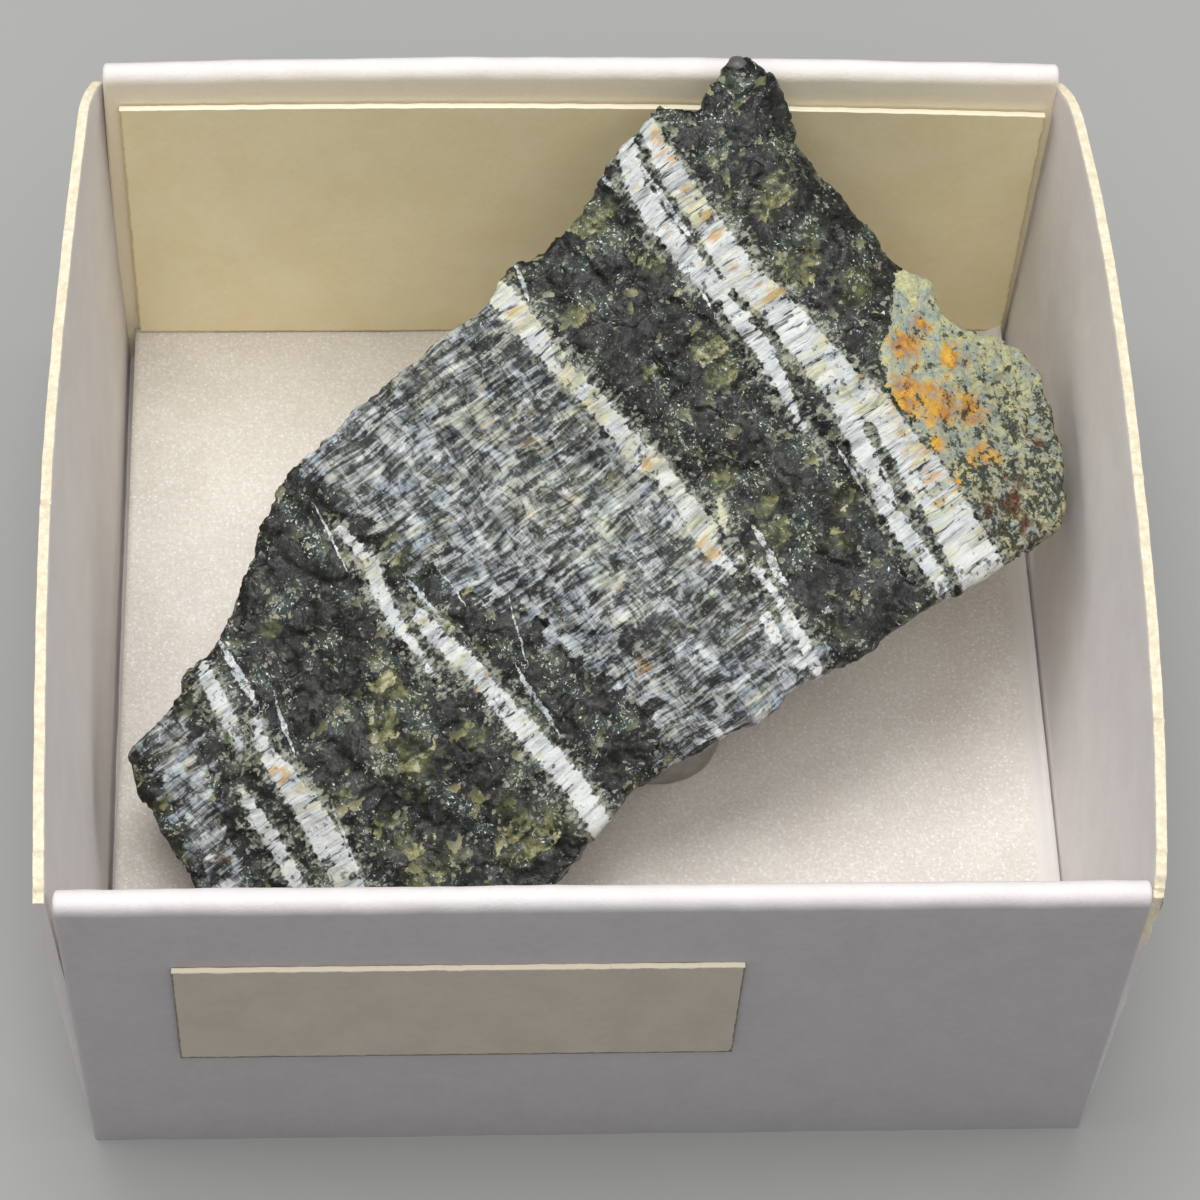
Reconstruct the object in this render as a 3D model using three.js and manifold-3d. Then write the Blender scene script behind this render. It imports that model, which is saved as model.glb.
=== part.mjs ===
// A broken slab of banded serpentine, propped on a lump of putty in its small card tray.
//
// Millimetres, +Z up. The origin is the middle of the tray's underside. +X runs to the right and
// +Y runs from the wall that carries the number label to the wall that carries the name card.

import * as THREE from 'three';
import { mergeVertices } from 'three/addons/utils/BufferGeometryUtils.js';
import Module from 'manifold-3d';

const wasm = await Module();
wasm.setup();

// ---------------------------------------------------------------- driving dimensions

const TRAY_DEPTH = 39.7; // outside, front to back, at the floor
const TRAY_HEIGHT = 19.9; // to the top of the rolled walls
const CARD = 0.45; // one thickness of the tray's board
const ROLL = 1.1; // a rolled wall: board folded over on itself

// The folded floor is not quite square: where its four corners lie.
const FLOOR_X = { frontLeft: -20.0, frontRight: 19.95, backLeft: -20.15, backRight: 20.35 };

// Rolled walls: outer face at the floor, lean and middle bow at the top, ends at floor and top.
const FRONT = { y: -TRAY_DEPTH / 2, lean: -0.23, bow: 0, foot: [-20.0, 19.95], top: [-20.22, 19.82] };
const BACK = { y: TRAY_DEPTH / 2, lean: 0.05, bow: 0.35, foot: [-20.1, 20.3], top: [-19.76, 20.08] };

// Side walls: single board that has sprung outward. The flare at the top is greatest at y = peak.
const LEFT = { side: -1, peak: -2, flare: 1.38, frontLoss: 0.43, backLoss: 0.96, power: 1.6 };
const RIGHT = { side: 1, peak: 0.5, flare: 1.36, frontLoss: 0.93, backLoss: 1.1, power: 2.5 };
const SIDE_TOP = 19.6; // height of the side walls' cut edges
const SIDE_FRONT = -19.6; // where the side walls end, front and back
const SIDE_BACK = 19.4;
const CORNER = { length: 2.4, curl: 0.3, drop: 0.7 }; // the back top corners curl in and down

const FOAM = { halfWidth: 19.35, front: -18.6, back: 18.68, top: 2.8 };
const NAME_CARD = { left: -19.15, right: 19.75, leftTop: 18.15, rightTop: 17.8, thick: 0.25, gap: 0.1 };
const NUMBER_LABEL = { left: -16.15, right: 5.15, bottom: 8.0, top: 15.3, thick: 0.2, glue: 0.02 };
const PUTTY = { x: 2.8, y: -2.2, radius: 3.3, gap: 0.4 };

// The slab's broken face: a point on it, its long axis (across the bands) and its normal.
const FACE_POINT = new THREE.Vector3(0.52, 2.93, 14.28);
const FACE_ACROSS = new THREE.Vector3(0.758, 0.557, 0.338).normalize();
const FACE_NORMAL = new THREE.Vector3(-0.069, -0.448, 0.892).normalize();

// Outline of the face in its own plane, from the left tip along the back edge, round the peak
// and the weathered corner, and home along the front edge.
const OUTLINE = [
  [-22.1, 4.0], [-18.7, 4.2], [-18.0, 4.8], [-16.6, 4.8], [-15.2, 5.7], [-13.2, 6.7],
  [-10.9, 7.9], [-9.8, 8.3], [-5.9, 8.7], [-3.4, 8.5], [0.9, 8.2], [2.2, 8.7], [3.8, 8.4],
  [6.7, 8.7], [8.8, 9.4], [11.9, 9.6], [12.8, 8.6], [13.9, 8.9], [15.5, 9.0], [16.0, 7.4],
  [15.8, 5.9], [15.1, 4.5], [15.1, 1.8], [14.9, -1.5], [15.7, -2.7], [15.4, -5.0], [16.5, -6.3],
  [16.9, -7.4], [16.8, -8.8], [15.3, -11.4], [13.9, -13.4], [12.8, -14.1], [11.0, -13.8],
  [8.8, -13.6], [6.8, -13.0], [3.9, -12.7], [-0.3, -11.9], [-1.7, -12.0], [-4.6, -11.4],
  [-7.2, -10.7], [-9.7, -11.0], [-11.7, -11.4], [-15.4, -11.5], [-18.5, -11.4], [-21.3, -10.3],
  [-22.9, -7.9], [-23.6, -5.1], [-23.4, -1.8], [-22.6, 2.6],
];
const OUTLINE_CENTRE = [-3.5, -1.8];
const OUTLINE_STEP = 0.85; // longest stretch between two points of a ring
const UNDERCUT = { front: 0.16, back: 0.6 }; // how far the sides step in for each unit of depth
const SLAB_GRID = { low: [-25, -15.5], high: [18.5, 11], step: 0.85 }; // reach and fineness

// The slab's thickness under a point of the face: thin at the low end, thick under the peak.
const THICKNESS = { at: [-1.25, -6.05], value: 5.4, across: 0.2, along: 0.17, least: 1.25, most: 8.4 };

// The weathered facet falls away beyond this line on the face.
const FACET = { from: [12.3, -3.2], to: [9.9, -13.6], slope: 0.78, deepest: 3.9 };

// White fibrous bands: middle line on the face at y = 0, slant, half width and height.
const BANDS = [
  { at: -17.2, slant: -0.1, half: 1.0, rise: 0.22 },
  { at: -9.3, slant: -0.12, half: 0.5, rise: -0.2 },
  { at: -0.3, slant: -0.05, half: 3.4, rise: 0.18 },
  { at: 4.0, slant: -0.1, half: 0.7, rise: 0.3 },
  { at: 9.3, slant: 0.02, half: 1.5, rise: 0.3 },
];

// ---------------------------------------------------------------- numbers

const clamp01 = (value) => Math.min(1, Math.max(0, value));
const mix = (a, b, share) => a + (b - a) * share;
const smooth = (value) => clamp01(value) ** 2 * (3 - 2 * clamp01(value));

function lattice(i, j, k) {
  let h = Math.imul(i, 374761393) ^ Math.imul(j, 668265263) ^ Math.imul(k, 1440662683);
  h = Math.imul(h ^ (h >>> 13), 1274126177);
  return (((h ^ (h >>> 16)) >>> 0) / 4294967296) * 2 - 1;
}

// Smooth lumps between -1 and 1, about one per unit.
function lumps(x, y, z) {
  const [i, j, k] = [x, y, z].map(Math.floor);
  const [a, b, c] = [smooth(x - i), smooth(y - j), smooth(z - k)];
  const edge = (dj, dk) => mix(lattice(i, j + dj, k + dk), lattice(i + 1, j + dj, k + dk), a);
  return mix(mix(edge(0, 0), edge(1, 0), b), mix(edge(0, 1), edge(1, 1), b), c);
}

// ---------------------------------------------------------------- meshes

function geometryFrom(points, faces) {
  const geometry = new THREE.BufferGeometry();
  geometry.setAttribute('position', new THREE.Float32BufferAttribute(points.flat(), 3));
  geometry.setIndex(faces.flat());
  geometry.computeVertexNormals();
  return geometry;
}

// Moves every point of a geometry.
function reshape(geometry, move) {
  const position = geometry.attributes.position;
  for (let i = 0; i < position.count; i++) {
    position.setXYZ(i, ...move(position.getX(i), position.getY(i), position.getZ(i)));
  }
  return geometry;
}

// A sheet between two faces, each a function of (s, t) in 0..1. The front face is seen from
// outside with s to the right and t up.
function sheet(front, back, columns, rows) {
  const points = [];
  for (const face of [front, back]) {
    for (let i = 0; i <= columns; i++) {
      for (let j = 0; j <= rows; j++) points.push(face(i / columns, j / rows));
    }
  }
  const at = (side, i, j) => (side * (columns + 1) + i) * (rows + 1) + j;
  const faces = [];
  const quad = (a, b, c, d) => faces.push([a, b, c], [a, c, d]);
  for (let i = 0; i < columns; i++) {
    for (let j = 0; j < rows; j++) {
      quad(at(0, i, j), at(0, i + 1, j), at(0, i + 1, j + 1), at(0, i, j + 1));
      quad(at(1, i, j), at(1, i, j + 1), at(1, i + 1, j + 1), at(1, i + 1, j));
    }
    quad(at(0, i, 0), at(1, i, 0), at(1, i + 1, 0), at(0, i + 1, 0));
    quad(at(0, i, rows), at(0, i + 1, rows), at(1, i + 1, rows), at(1, i, rows));
  }
  for (let j = 0; j < rows; j++) {
    quad(at(0, 0, j), at(0, 0, j + 1), at(1, 0, j + 1), at(1, 0, j));
    quad(at(0, columns, j), at(1, columns, j), at(1, columns, j + 1), at(0, columns, j + 1));
  }
  return geometryFrom(points, faces);
}

// A lump from rings of points, listed from the top down and anticlockwise from above.
function lump(top, rings, bottom) {
  const count = rings[0].length;
  const points = [...rings.flat(), top, bottom];
  const faces = [];
  for (let k = 0; k < count; k++) {
    const next = (k + 1) % count;
    faces.push([points.length - 2, k, next]);
    for (let r = 0; r + 1 < rings.length; r++) {
      const [upper, lower] = [r * count, (r + 1) * count];
      faces.push([upper + k, lower + k, lower + next], [upper + k, lower + next, upper + next]);
    }
    const last = (rings.length - 1) * count;
    faces.push([points.length - 1, last + next, last + k]);
  }
  return geometryFrom(points, faces);
}

function toManifold(geometry) {
  const bare = geometry.clone();
  for (const name of ['normal', 'uv']) bare.deleteAttribute(name);
  const merged = mergeVertices(bare, 1e-5);
  return new wasm.Manifold(new wasm.Mesh({
    numProp: 3,
    vertProperties: new Float32Array(merged.attributes.position.array),
    triVerts: new Uint32Array(merged.index.array),
  }));
}

function fromManifold(solid) {
  const mesh = solid.getMesh();
  const geometry = new THREE.BufferGeometry();
  geometry.setAttribute('position', new THREE.BufferAttribute(mesh.vertProperties, 3));
  geometry.setIndex(new THREE.BufferAttribute(mesh.triVerts, 1));
  geometry.computeVertexNormals();
  return geometry;
}

// ---------------------------------------------------------------- card tray

// Outer face of a rolled wall at a share s of its length and a height z.
const wallOuter = (wall, s, z) => {
  const rise = z / TRAY_HEIGHT;
  return wall.y + wall.lean * rise + wall.bow * rise * Math.sin(Math.PI * s);
};

// Board folded over a round top edge, with its ends in line with the corners.
function rolledWall(wall) {
  const inward = wall.y < 0 ? 1 : -1;
  const radius = ROLL / 2;
  const section = new THREE.Shape();
  section.moveTo(0, 0);
  section.lineTo(ROLL, 0);
  section.lineTo(ROLL, TRAY_HEIGHT - radius);
  section.absarc(radius, TRAY_HEIGHT - radius, radius, 0, Math.PI, false);
  section.lineTo(0, 0);
  const length = 1;
  const bar = new THREE.ExtrudeGeometry(section, {
    depth: length, steps: wall.bow ? 12 : 1, bevelEnabled: false, curveSegments: 7,
  });
  return reshape(bar, (across, z, along) => {
    const s = inward > 0 ? along : length - along;
    const rise = z / TRAY_HEIGHT;
    const [left, right] = [0, 1].map((end) => mix(wall.foot[end], wall.top[end], rise));
    return [mix(left, right, s), wallOuter(wall, s, z) + inward * across, z];
  });
}

function sideOuter(wall, y, z) {
  const [front, back] = wall.side < 0
    ? [-FLOOR_X.frontLeft, -FLOOR_X.backLeft] : [FLOOR_X.frontRight, FLOOR_X.backRight];
  const foot = mix(front, back, (y + TRAY_DEPTH / 2) / TRAY_DEPTH);
  const [end, loss] = y < wall.peak ? [SIDE_FRONT, wall.frontLoss] : [SIDE_BACK, wall.backLoss];
  const fromPeak = Math.abs(y - wall.peak) / Math.abs(end - wall.peak);
  const curl = CORNER.curl * clamp01((y - SIDE_BACK + CORNER.length) / CORNER.length) ** 2;
  return foot + (wall.flare - loss * fromPeak ** wall.power - curl) * (z / SIDE_TOP);
}

// Single board from corner to corner, flared towards its cut top edge.
function sideWall(wall) {
  const face = (inset) => (s, t) => {
    const y = wall.side > 0 ? mix(SIDE_FRONT, SIDE_BACK, s) : mix(SIDE_BACK, SIDE_FRONT, s);
    const corner = clamp01((y - SIDE_BACK + CORNER.length) / CORNER.length);
    const z = t * (SIDE_TOP - CORNER.drop * corner ** 2);
    return [wall.side * (sideOuter(wall, y, z) - inset), y, z];
  };
  return sheet(face(0), face(CARD), 22, 5);
}

function cardTray() {
  const { frontLeft, frontRight, backLeft, backRight } = FLOOR_X;
  const floor = new THREE.Shape([
    new THREE.Vector2(frontLeft, FRONT.y), new THREE.Vector2(frontRight, FRONT.y),
    new THREE.Vector2(backRight, BACK.y), new THREE.Vector2(backLeft, BACK.y),
  ]);
  const board = new THREE.ExtrudeGeometry(floor, { depth: CARD, bevelEnabled: false });
  return [rolledWall(FRONT), rolledWall(BACK), sideWall(LEFT), sideWall(RIGHT)]
    .reduce((tray, wall) => tray.add(toManifold(wall)), toManifold(board));
}

// ---------------------------------------------------------------- foam and labels

function foamPad() {
  const { halfWidth, front, back, top } = FOAM;
  const pad = new THREE.BoxGeometry(2 * halfWidth, back - front, top - CARD);
  return pad.translate(0, (front + back) / 2, (top + CARD) / 2);
}

// Stands on the foam and leans on the back wall, whose bow it follows.
function nameCard() {
  const { left, right, leftTop, rightTop, thick, gap } = NAME_CARD;
  const face = (offset) => (s, t) => {
    const x = mix(left, right, s);
    const z = mix(FOAM.top, mix(leftTop, rightTop, s), t);
    const share = (x - BACK.top[0]) / (BACK.top[1] - BACK.top[0]);
    return [x, wallOuter(BACK, clamp01(share), z) - ROLL - gap - offset, z];
  };
  return sheet(face(thick), face(0), 12, 1);
}

// Glued to the outside of the front wall.
function numberLabel() {
  const { left, right, bottom, top, thick, glue } = NUMBER_LABEL;
  const face = (offset) => (s, t) => {
    const z = mix(bottom, top, t);
    return [mix(left, right, s), wallOuter(FRONT, s, z) - glue - offset, z];
  };
  return sheet(face(thick), face(0), 1, 1);
}

// ---------------------------------------------------------------- serpentine slab

const slabFrame = new THREE.Matrix4().makeBasis(
  FACE_ACROSS, new THREE.Vector3().crossVectors(FACE_NORMAL, FACE_ACROSS), FACE_NORMAL,
).setPosition(FACE_POINT);

function thickness(u, v) {
  const { at, value, across, along, least, most } = THICKNESS;
  const plain = value + across * (u - at[0]) + along * (v - at[1]);
  return Math.min(most, Math.max(least, plain));
}

// How far the weathered facet has fallen below the face.
function facetDrop(u, v) {
  const { from, to, slope, deepest } = FACET;
  const run = Math.hypot(to[0] - from[0], to[1] - from[1]);
  const beyond = ((u - from[0]) * (from[1] - to[1]) + (v - from[1]) * (to[0] - from[0])) / run;
  return Math.min(deepest, slope * Math.max(0, beyond));
}

// Height of the broken face above its own plane: broad swells, proud or sunken bands, the facet.
function faceHeight(u, v) {
  const wander = 0.5 * lumps(u * 0.4, v * 0.4, 3);
  let height = 0.34 * lumps(u * 0.3, v * 0.25, 7) + 0.2 * lumps(u * 0.8, v * 0.7, 11);
  for (const { at, slant, half, rise } of BANDS) {
    const off = Math.abs(u + wander - at - slant * v) / half;
    height += rise * smooth(1.5 - off);
  }
  return height - facetDrop(u, v);
}

// Height of the underside, level where the putty holds it and lumpy elsewhere.
function baseHeight(u, v) {
  const fromSeat = Math.hypot(u - THICKNESS.at[0], v - THICKNESS.at[1]);
  return 0.45 * smooth((fromSeat - 3.5) / 3) * lumps(u * 0.3, v * 0.3, 17) - thickness(u, v);
}

// The outline at one depth below the face, anticlockwise. Its corners stay, points are added
// where two lie far apart, and the broken sides step inward on their way down.
function outlineRing(depth) {
  const [centreU, centreV] = OUTLINE_CENTRE;
  const ring = [];
  OUTLINE.forEach(([u, v], index) => {
    const [nextU, nextV] = OUTLINE[(index + 1) % OUTLINE.length];
    const steps = Math.ceil(Math.hypot(nextU - u, nextV - v) / OUTLINE_STEP);
    for (let k = 0; k < steps; k++) {
      const [atU, atV] = [mix(u, nextU, k / steps), mix(v, nextV, k / steps)];
      const bite = 0.2 * (k ? lumps(atU * 1.1, atV * 1.1, 5) : 0);
      const below = Math.max(0, depth - facetDrop(atU, atV));
      const undercut = below * mix(UNDERCUT.front, UNDERCUT.back, smooth((atV - 2) / 4));
      const ledge = 0.07 * below * lumps(atU * 0.5, atV * 0.5, depth * 0.6);
      const share = 1 - (undercut + ledge + bite) / Math.hypot(atU - centreU, atV - centreV);
      ring.push([mix(centreU, atU, share), mix(centreV, atV, share), -depth]);
    }
  });
  return ring.reverse();
}

// The layer between the face and the underside, kept inside the outline.
function serpentineSlab() {
  const { low, high, step } = SLAB_GRID;
  const surface = (height) => (s, t) => {
    const [u, v] = [mix(low[0], high[0], s), mix(low[1], high[1], t)];
    return [u, v, height(u, v)];
  };
  const [columns, rows] = [0, 1].map((k) => Math.round((high[k] - low[k]) / step));
  const layer = sheet(surface(faceHeight), surface(baseHeight), columns, rows);
  const depths = [-1.5, 0, 1.1, 2.4, 3.8, 5.4, 7.2, 10];
  const [centreU, centreV] = OUTLINE_CENTRE;
  const sides = lump(
    [centreU, centreV, -depths[0]], depths.map(outlineRing), [centreU, centreV, -depths.at(-1)],
  );
  return fromManifold(toManifold(layer).intersect(toManifold(sides)));
}

// ---------------------------------------------------------------- putty

// Height of the slab's underside, less the gap, over a point of the tray's floor.
function underSlab(x, y) {
  const toSlab = slabFrame.clone().invert();
  let z = FOAM.top;
  for (let k = 0; k < 8; k++) {
    const local = new THREE.Vector3(x, y, z).applyMatrix4(toSlab);
    z += (-thickness(local.x, local.y) - PUTTY.gap - local.z) * FACE_NORMAL.z;
  }
  return z;
}

function puttyLump() {
  const sides = 24;
  const ring = (spread, rise) => Array.from({ length: sides }, (_, k) => {
    const turn = (2 * Math.PI * k) / sides;
    const reach = PUTTY.radius * spread * (1 + 0.08 * lumps(2 * Math.cos(turn), 2 * Math.sin(turn), 2));
    const [x, y] = [PUTTY.x + reach * Math.cos(turn), PUTTY.y + reach * Math.sin(turn)];
    return [x, y, mix(FOAM.top, underSlab(x, y), rise)];
  });
  const levels = [[0.4, 1], [0.72, 1], [0.9, 0.86], [1.02, 0.55], [1.06, 0.25], [1, 0]];
  const top = [PUTTY.x, PUTTY.y, underSlab(PUTTY.x, PUTTY.y)];
  return lump(top, levels.map(([spread, rise]) => ring(spread, rise)), [PUTTY.x, PUTTY.y, FOAM.top]);
}

// ---------------------------------------------------------------- assembly

const finish = (color, roughness) => new THREE.MeshStandardMaterial({ color, roughness, metalness: 0 });

function piece(name, geometry, material) {
  const mesh = new THREE.Mesh(geometry, material);
  mesh.name = name;
  return mesh;
}

const slab = new THREE.Group();
slab.add(piece('serpentine_rock', serpentineSlab(), finish(0x3c4540, 0.5)));
slab.position.copy(FACE_POINT);
slab.quaternion.setFromRotationMatrix(slabFrame);

const specimen = new THREE.Group();
specimen.add(
  piece('card_tray', fromManifold(cardTray()), finish(0xc9c4c6, 0.85)),
  piece('foam_pad', foamPad(), finish(0xe4ded2, 0.9)),
  piece('name_card', nameCard(), finish(0xc4b78c, 0.8)),
  piece('number_label', numberLabel(), finish(0xcfc6b0, 0.8)),
  piece('putty', puttyLump(), finish(0x9a9b98, 0.45)),
  slab,
);

export default specimen;
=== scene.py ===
# %% [markdown]
# # A banded serpentine slab in its card tray
#
# The specimen is a broken slab of dark green serpentine crossed by white bands of fibrous
# chrysotile. A lump of putty props it in a small folded card tray that is lined with foam
# and carries two plain paper labels. The lesson builds the stone first, because its finish is
# the hard part, and then the card, foam, paper and putty around it.

import math

import bmesh
import bpy
import numpy as np
from mathutils import Matrix, Vector, noise


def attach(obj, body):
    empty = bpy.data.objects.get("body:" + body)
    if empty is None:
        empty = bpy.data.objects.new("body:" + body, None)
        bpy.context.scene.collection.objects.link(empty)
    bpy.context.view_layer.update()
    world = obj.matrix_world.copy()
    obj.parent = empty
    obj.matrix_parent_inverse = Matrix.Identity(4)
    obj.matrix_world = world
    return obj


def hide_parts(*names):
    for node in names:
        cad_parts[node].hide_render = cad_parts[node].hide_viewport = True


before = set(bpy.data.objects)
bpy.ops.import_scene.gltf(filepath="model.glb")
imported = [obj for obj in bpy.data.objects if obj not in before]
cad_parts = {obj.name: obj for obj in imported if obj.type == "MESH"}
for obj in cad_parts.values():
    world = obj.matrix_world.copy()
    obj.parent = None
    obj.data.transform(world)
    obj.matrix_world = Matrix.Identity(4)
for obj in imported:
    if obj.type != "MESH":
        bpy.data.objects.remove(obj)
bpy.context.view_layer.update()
MM = 0.001  # lengths below are in millimetres, and this turns them into metres
noise.seed_set(1)  # so that every run breaks the stone in the same way

# %% [markdown]
# ## Camera
#
# The camera looks down into the tray from 17 cm away, so near that the upright walls draw
# together towards the table. It is turned by three angles: about the upright, down towards the
# table, and about its own axis. Building its matrix from the three directions that it sees is
# easier to check than a chain of Euler turns.

# %% Camera
CAMERA_AT = (-7.805, -88.287, 147.018)
CAMERA_YAW, CAMERA_DIP, CAMERA_ROLL = (math.radians(a) for a in (5.4626, 57.2607, -4.2815))
LENS, SENSOR = 119.29, 36.0

forward = Vector((
    math.sin(CAMERA_YAW) * math.cos(CAMERA_DIP),
    math.cos(CAMERA_YAW) * math.cos(CAMERA_DIP),
    -math.sin(CAMERA_DIP),
))
level = Vector((math.cos(CAMERA_YAW), -math.sin(CAMERA_YAW), 0))
plumb = forward.cross(level)
right = level * math.cos(CAMERA_ROLL) + plumb * math.sin(CAMERA_ROLL)
down = plumb * math.cos(CAMERA_ROLL) - level * math.sin(CAMERA_ROLL)

camera = bpy.data.objects.new("camera", bpy.data.cameras.new("camera"))
camera.data.lens, camera.data.sensor_width = LENS, SENSOR
camera.data.clip_start, camera.data.clip_end = 0.01, 10
turn = Matrix((right, -down, -forward)).transposed().to_4x4()
camera.matrix_world = Matrix.Translation(Vector(CAMERA_AT) * MM) @ turn
bpy.context.scene.collection.objects.link(camera)
bpy.context.scene.camera = camera
print("Camera looks along", [round(c, 3) for c in forward])

# %% [markdown]
# ## Writing a finish as arithmetic
#
# A finish is a network of shader nodes. Wiring them by hand hides the idea behind it, so a
# small class wraps a node's output and turns Python's own signs into Math nodes. Then a mask
# reads as a formula, and one method makes every other kind of node.

# %% Finishes
class Socket:
    """An output of a finish's node. Arithmetic on it adds Math nodes."""

    def __init__(self, finish, output):
        self.finish, self.output = finish, output

    def math(self, operation, *values):
        return self.finish.node(
            "ShaderNodeMath", {"operation": operation}, dict(enumerate(values)))

    def __add__(self, other): return self.math("ADD", self, other)
    def __radd__(self, other): return self.math("ADD", other, self)
    def __sub__(self, other): return self.math("SUBTRACT", self, other)
    def __rsub__(self, other): return self.math("SUBTRACT", other, self)
    def __mul__(self, other): return self.math("MULTIPLY", self, other)
    def __rmul__(self, other): return self.math("MULTIPLY", other, self)
    def __truediv__(self, other): return self.math("DIVIDE", self, other)
    def __abs__(self): return self.math("ABSOLUTE", self)
    def most(self, other): return self.math("MAXIMUM", self, other)
    def swing(self, reach): return (self - 0.5) * reach  # about 0, for a field from 0 to 1

    def rise(self, low, high):
        """0 below low, 1 above high and a smooth rise between them."""
        return self.finish.node(
            "ShaderNodeMapRange", {"interpolation_type": "SMOOTHSTEP"},
            {"Value": self, "From Min": low, "From Max": high})


class Finish:
    """A material, and the few ways in which its nodes are made."""

    def __init__(self, name, **constants):
        self.material = bpy.data.materials.new(name)
        self.material.use_nodes = True
        self.tree = self.material.node_tree
        self.shader = self.tree.nodes["Principled BSDF"]
        for key, value in constants.items():
            self.shader.inputs[key.replace("_", " ")].default_value = value

    def node(self, kind, settings, sockets, output=0):
        made = self.tree.nodes.new(kind)
        for key, value in settings.items():
            if key == "stops":
                for position, colour in value[2:]:
                    made.color_ramp.elements.new(position)
                for element, (position, colour) in zip(made.color_ramp.elements, sorted(value)):
                    element.position, element.color = position, paint(colour)
            else:
                setattr(made, key, value)
        for key, value in sockets.items():
            if isinstance(value, Socket):
                self.tree.links.new(value.output, made.inputs[key])
            else:
                made.inputs[key].default_value = paint(value) if isinstance(value, str) else value
        return Socket(self, made.outputs[output])

    def attribute(self, name, output=2):
        return self.node("ShaderNodeAttribute", {"attribute_name": name}, {}, output)

    def noise(self, place, scale, detail=2.0, rough=0.5, output=0):
        return self.node("ShaderNodeTexNoise", {}, {
            "Vector": place, "Scale": scale, "Detail": detail, "Roughness": rough}, output)

    def millimetres(self):
        """A place on the piece, in millimetres."""
        return self.node("ShaderNodeVectorMath", {"operation": "SCALE"}, {
            0: self.node("ShaderNodeTexCoord", {}, {}, 3), "Scale": 1 / MM})

    def mix(self, share, first, second, blend="MIX"):
        return self.node(
            "ShaderNodeMix", {"data_type": "RGBA", "blend_type": blend},
            {0: share, 6: first, 7: second}, 2)

    def vector(self, operation, *values):
        return self.node("ShaderNodeVectorMath", {"operation": operation}, dict(enumerate(values)))

    def bump(self, height, distance, strength=1.0):
        return self.node("ShaderNodeBump", {}, {
            "Height": height, "Distance": distance * MM, "Strength": strength})

    def give(self, **sockets):
        for key, value in sockets.items():
            self.tree.links.new(value.output, self.shader.inputs[key.replace("_", " ")])
        print(f"Finish {self.material.name}: {len(self.tree.nodes)} nodes")
        return self.material


def paint(code):
    """A colour such as #8090a0, as the linear light that shaders use."""
    shares = [int(code[k:k + 2], 16) / 255 for k in (1, 3, 5)]
    return (*(s / 12.92 if s < 0.04045 else ((s + 0.055) / 1.055) ** 2.4 for s in shares), 1.0)


# %% [markdown]
# ## Making and placing a piece
#
# Every piece below is made in millimetres and turned into metres as it is put in place.
# A piece takes the place of its plain CAD solid and rides on the same body.

# %% Pieces
def mesh_object(name, points, faces):
    mesh = bpy.data.meshes.new(name)
    mesh.from_pydata([tuple(p) for p in points], [], [tuple(f) for f in faces])
    piece = bpy.data.objects.new(name, mesh)
    bpy.context.scene.collection.objects.link(piece)
    return piece


def give_field(piece, name, values):
    """One number for every point of a piece, for its finish to read."""
    piece.data.attributes.new(name, "FLOAT", "POINT").data.foreach_set("value", values)


def apply_modifiers(piece):
    shape = bpy.data.meshes.new_from_object(
        piece.evaluated_get(bpy.context.evaluated_depsgraph_get()))
    piece.modifiers.clear()
    piece.data = shape


def add_modifier(piece, kind, **settings):
    modifier = piece.modifiers.new(kind, kind)
    for key, value in settings.items():
        setattr(modifier, key, value)


def place_piece(piece, node, material, smooth=True):
    piece.data.transform(Matrix.Scale(MM, 4))
    piece.data.materials.clear()
    piece.data.materials.append(material)
    piece.data.polygons.foreach_set("use_smooth", [smooth] * len(piece.data.polygons))
    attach(piece, "root")
    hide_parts(node)
    print(f"{piece.name}: {sum(len(f.vertices) - 2 for f in piece.data.polygons)} triangles")


# %% [markdown]
# ## The slab's own axes
#
# The stone broke along one nearly flat face, and everything on it lies in that plane: bands,
# patches and stains. So the stone gets axes of its own, with u across the bands, v along them
# and w out of the face. They turn a place on the tilted stone into one on a level map.

# %% Slab axes
FACE_POINT = np.array([0.52, 2.93, 14.28])
FACE_ACROSS = np.array([0.758, 0.557, 0.338])
FACE_NORMAL = np.array([-0.069, -0.448, 0.892])

across, normal = (axis / np.linalg.norm(axis) for axis in (FACE_ACROSS, FACE_NORMAL))
slab_axes = np.array([across, np.cross(normal, across), normal])


def on_slab(points):
    return (points - FACE_POINT) @ slab_axes.T


print("Slab axes u, v and w:", slab_axes.round(2).tolist())

# %% [markdown]
# ## A map of the bands
#
# Each white band is a seam that opened and filled with fibre. It wanders, swells and pinches
# out, so it is held as a middle line of a few places with a half width at each. A stone's
# point then asks how deep it lies inside the nearest band. That depth is a smooth field, and
# the finish can fray its edge later with fibres of any fineness.

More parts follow.
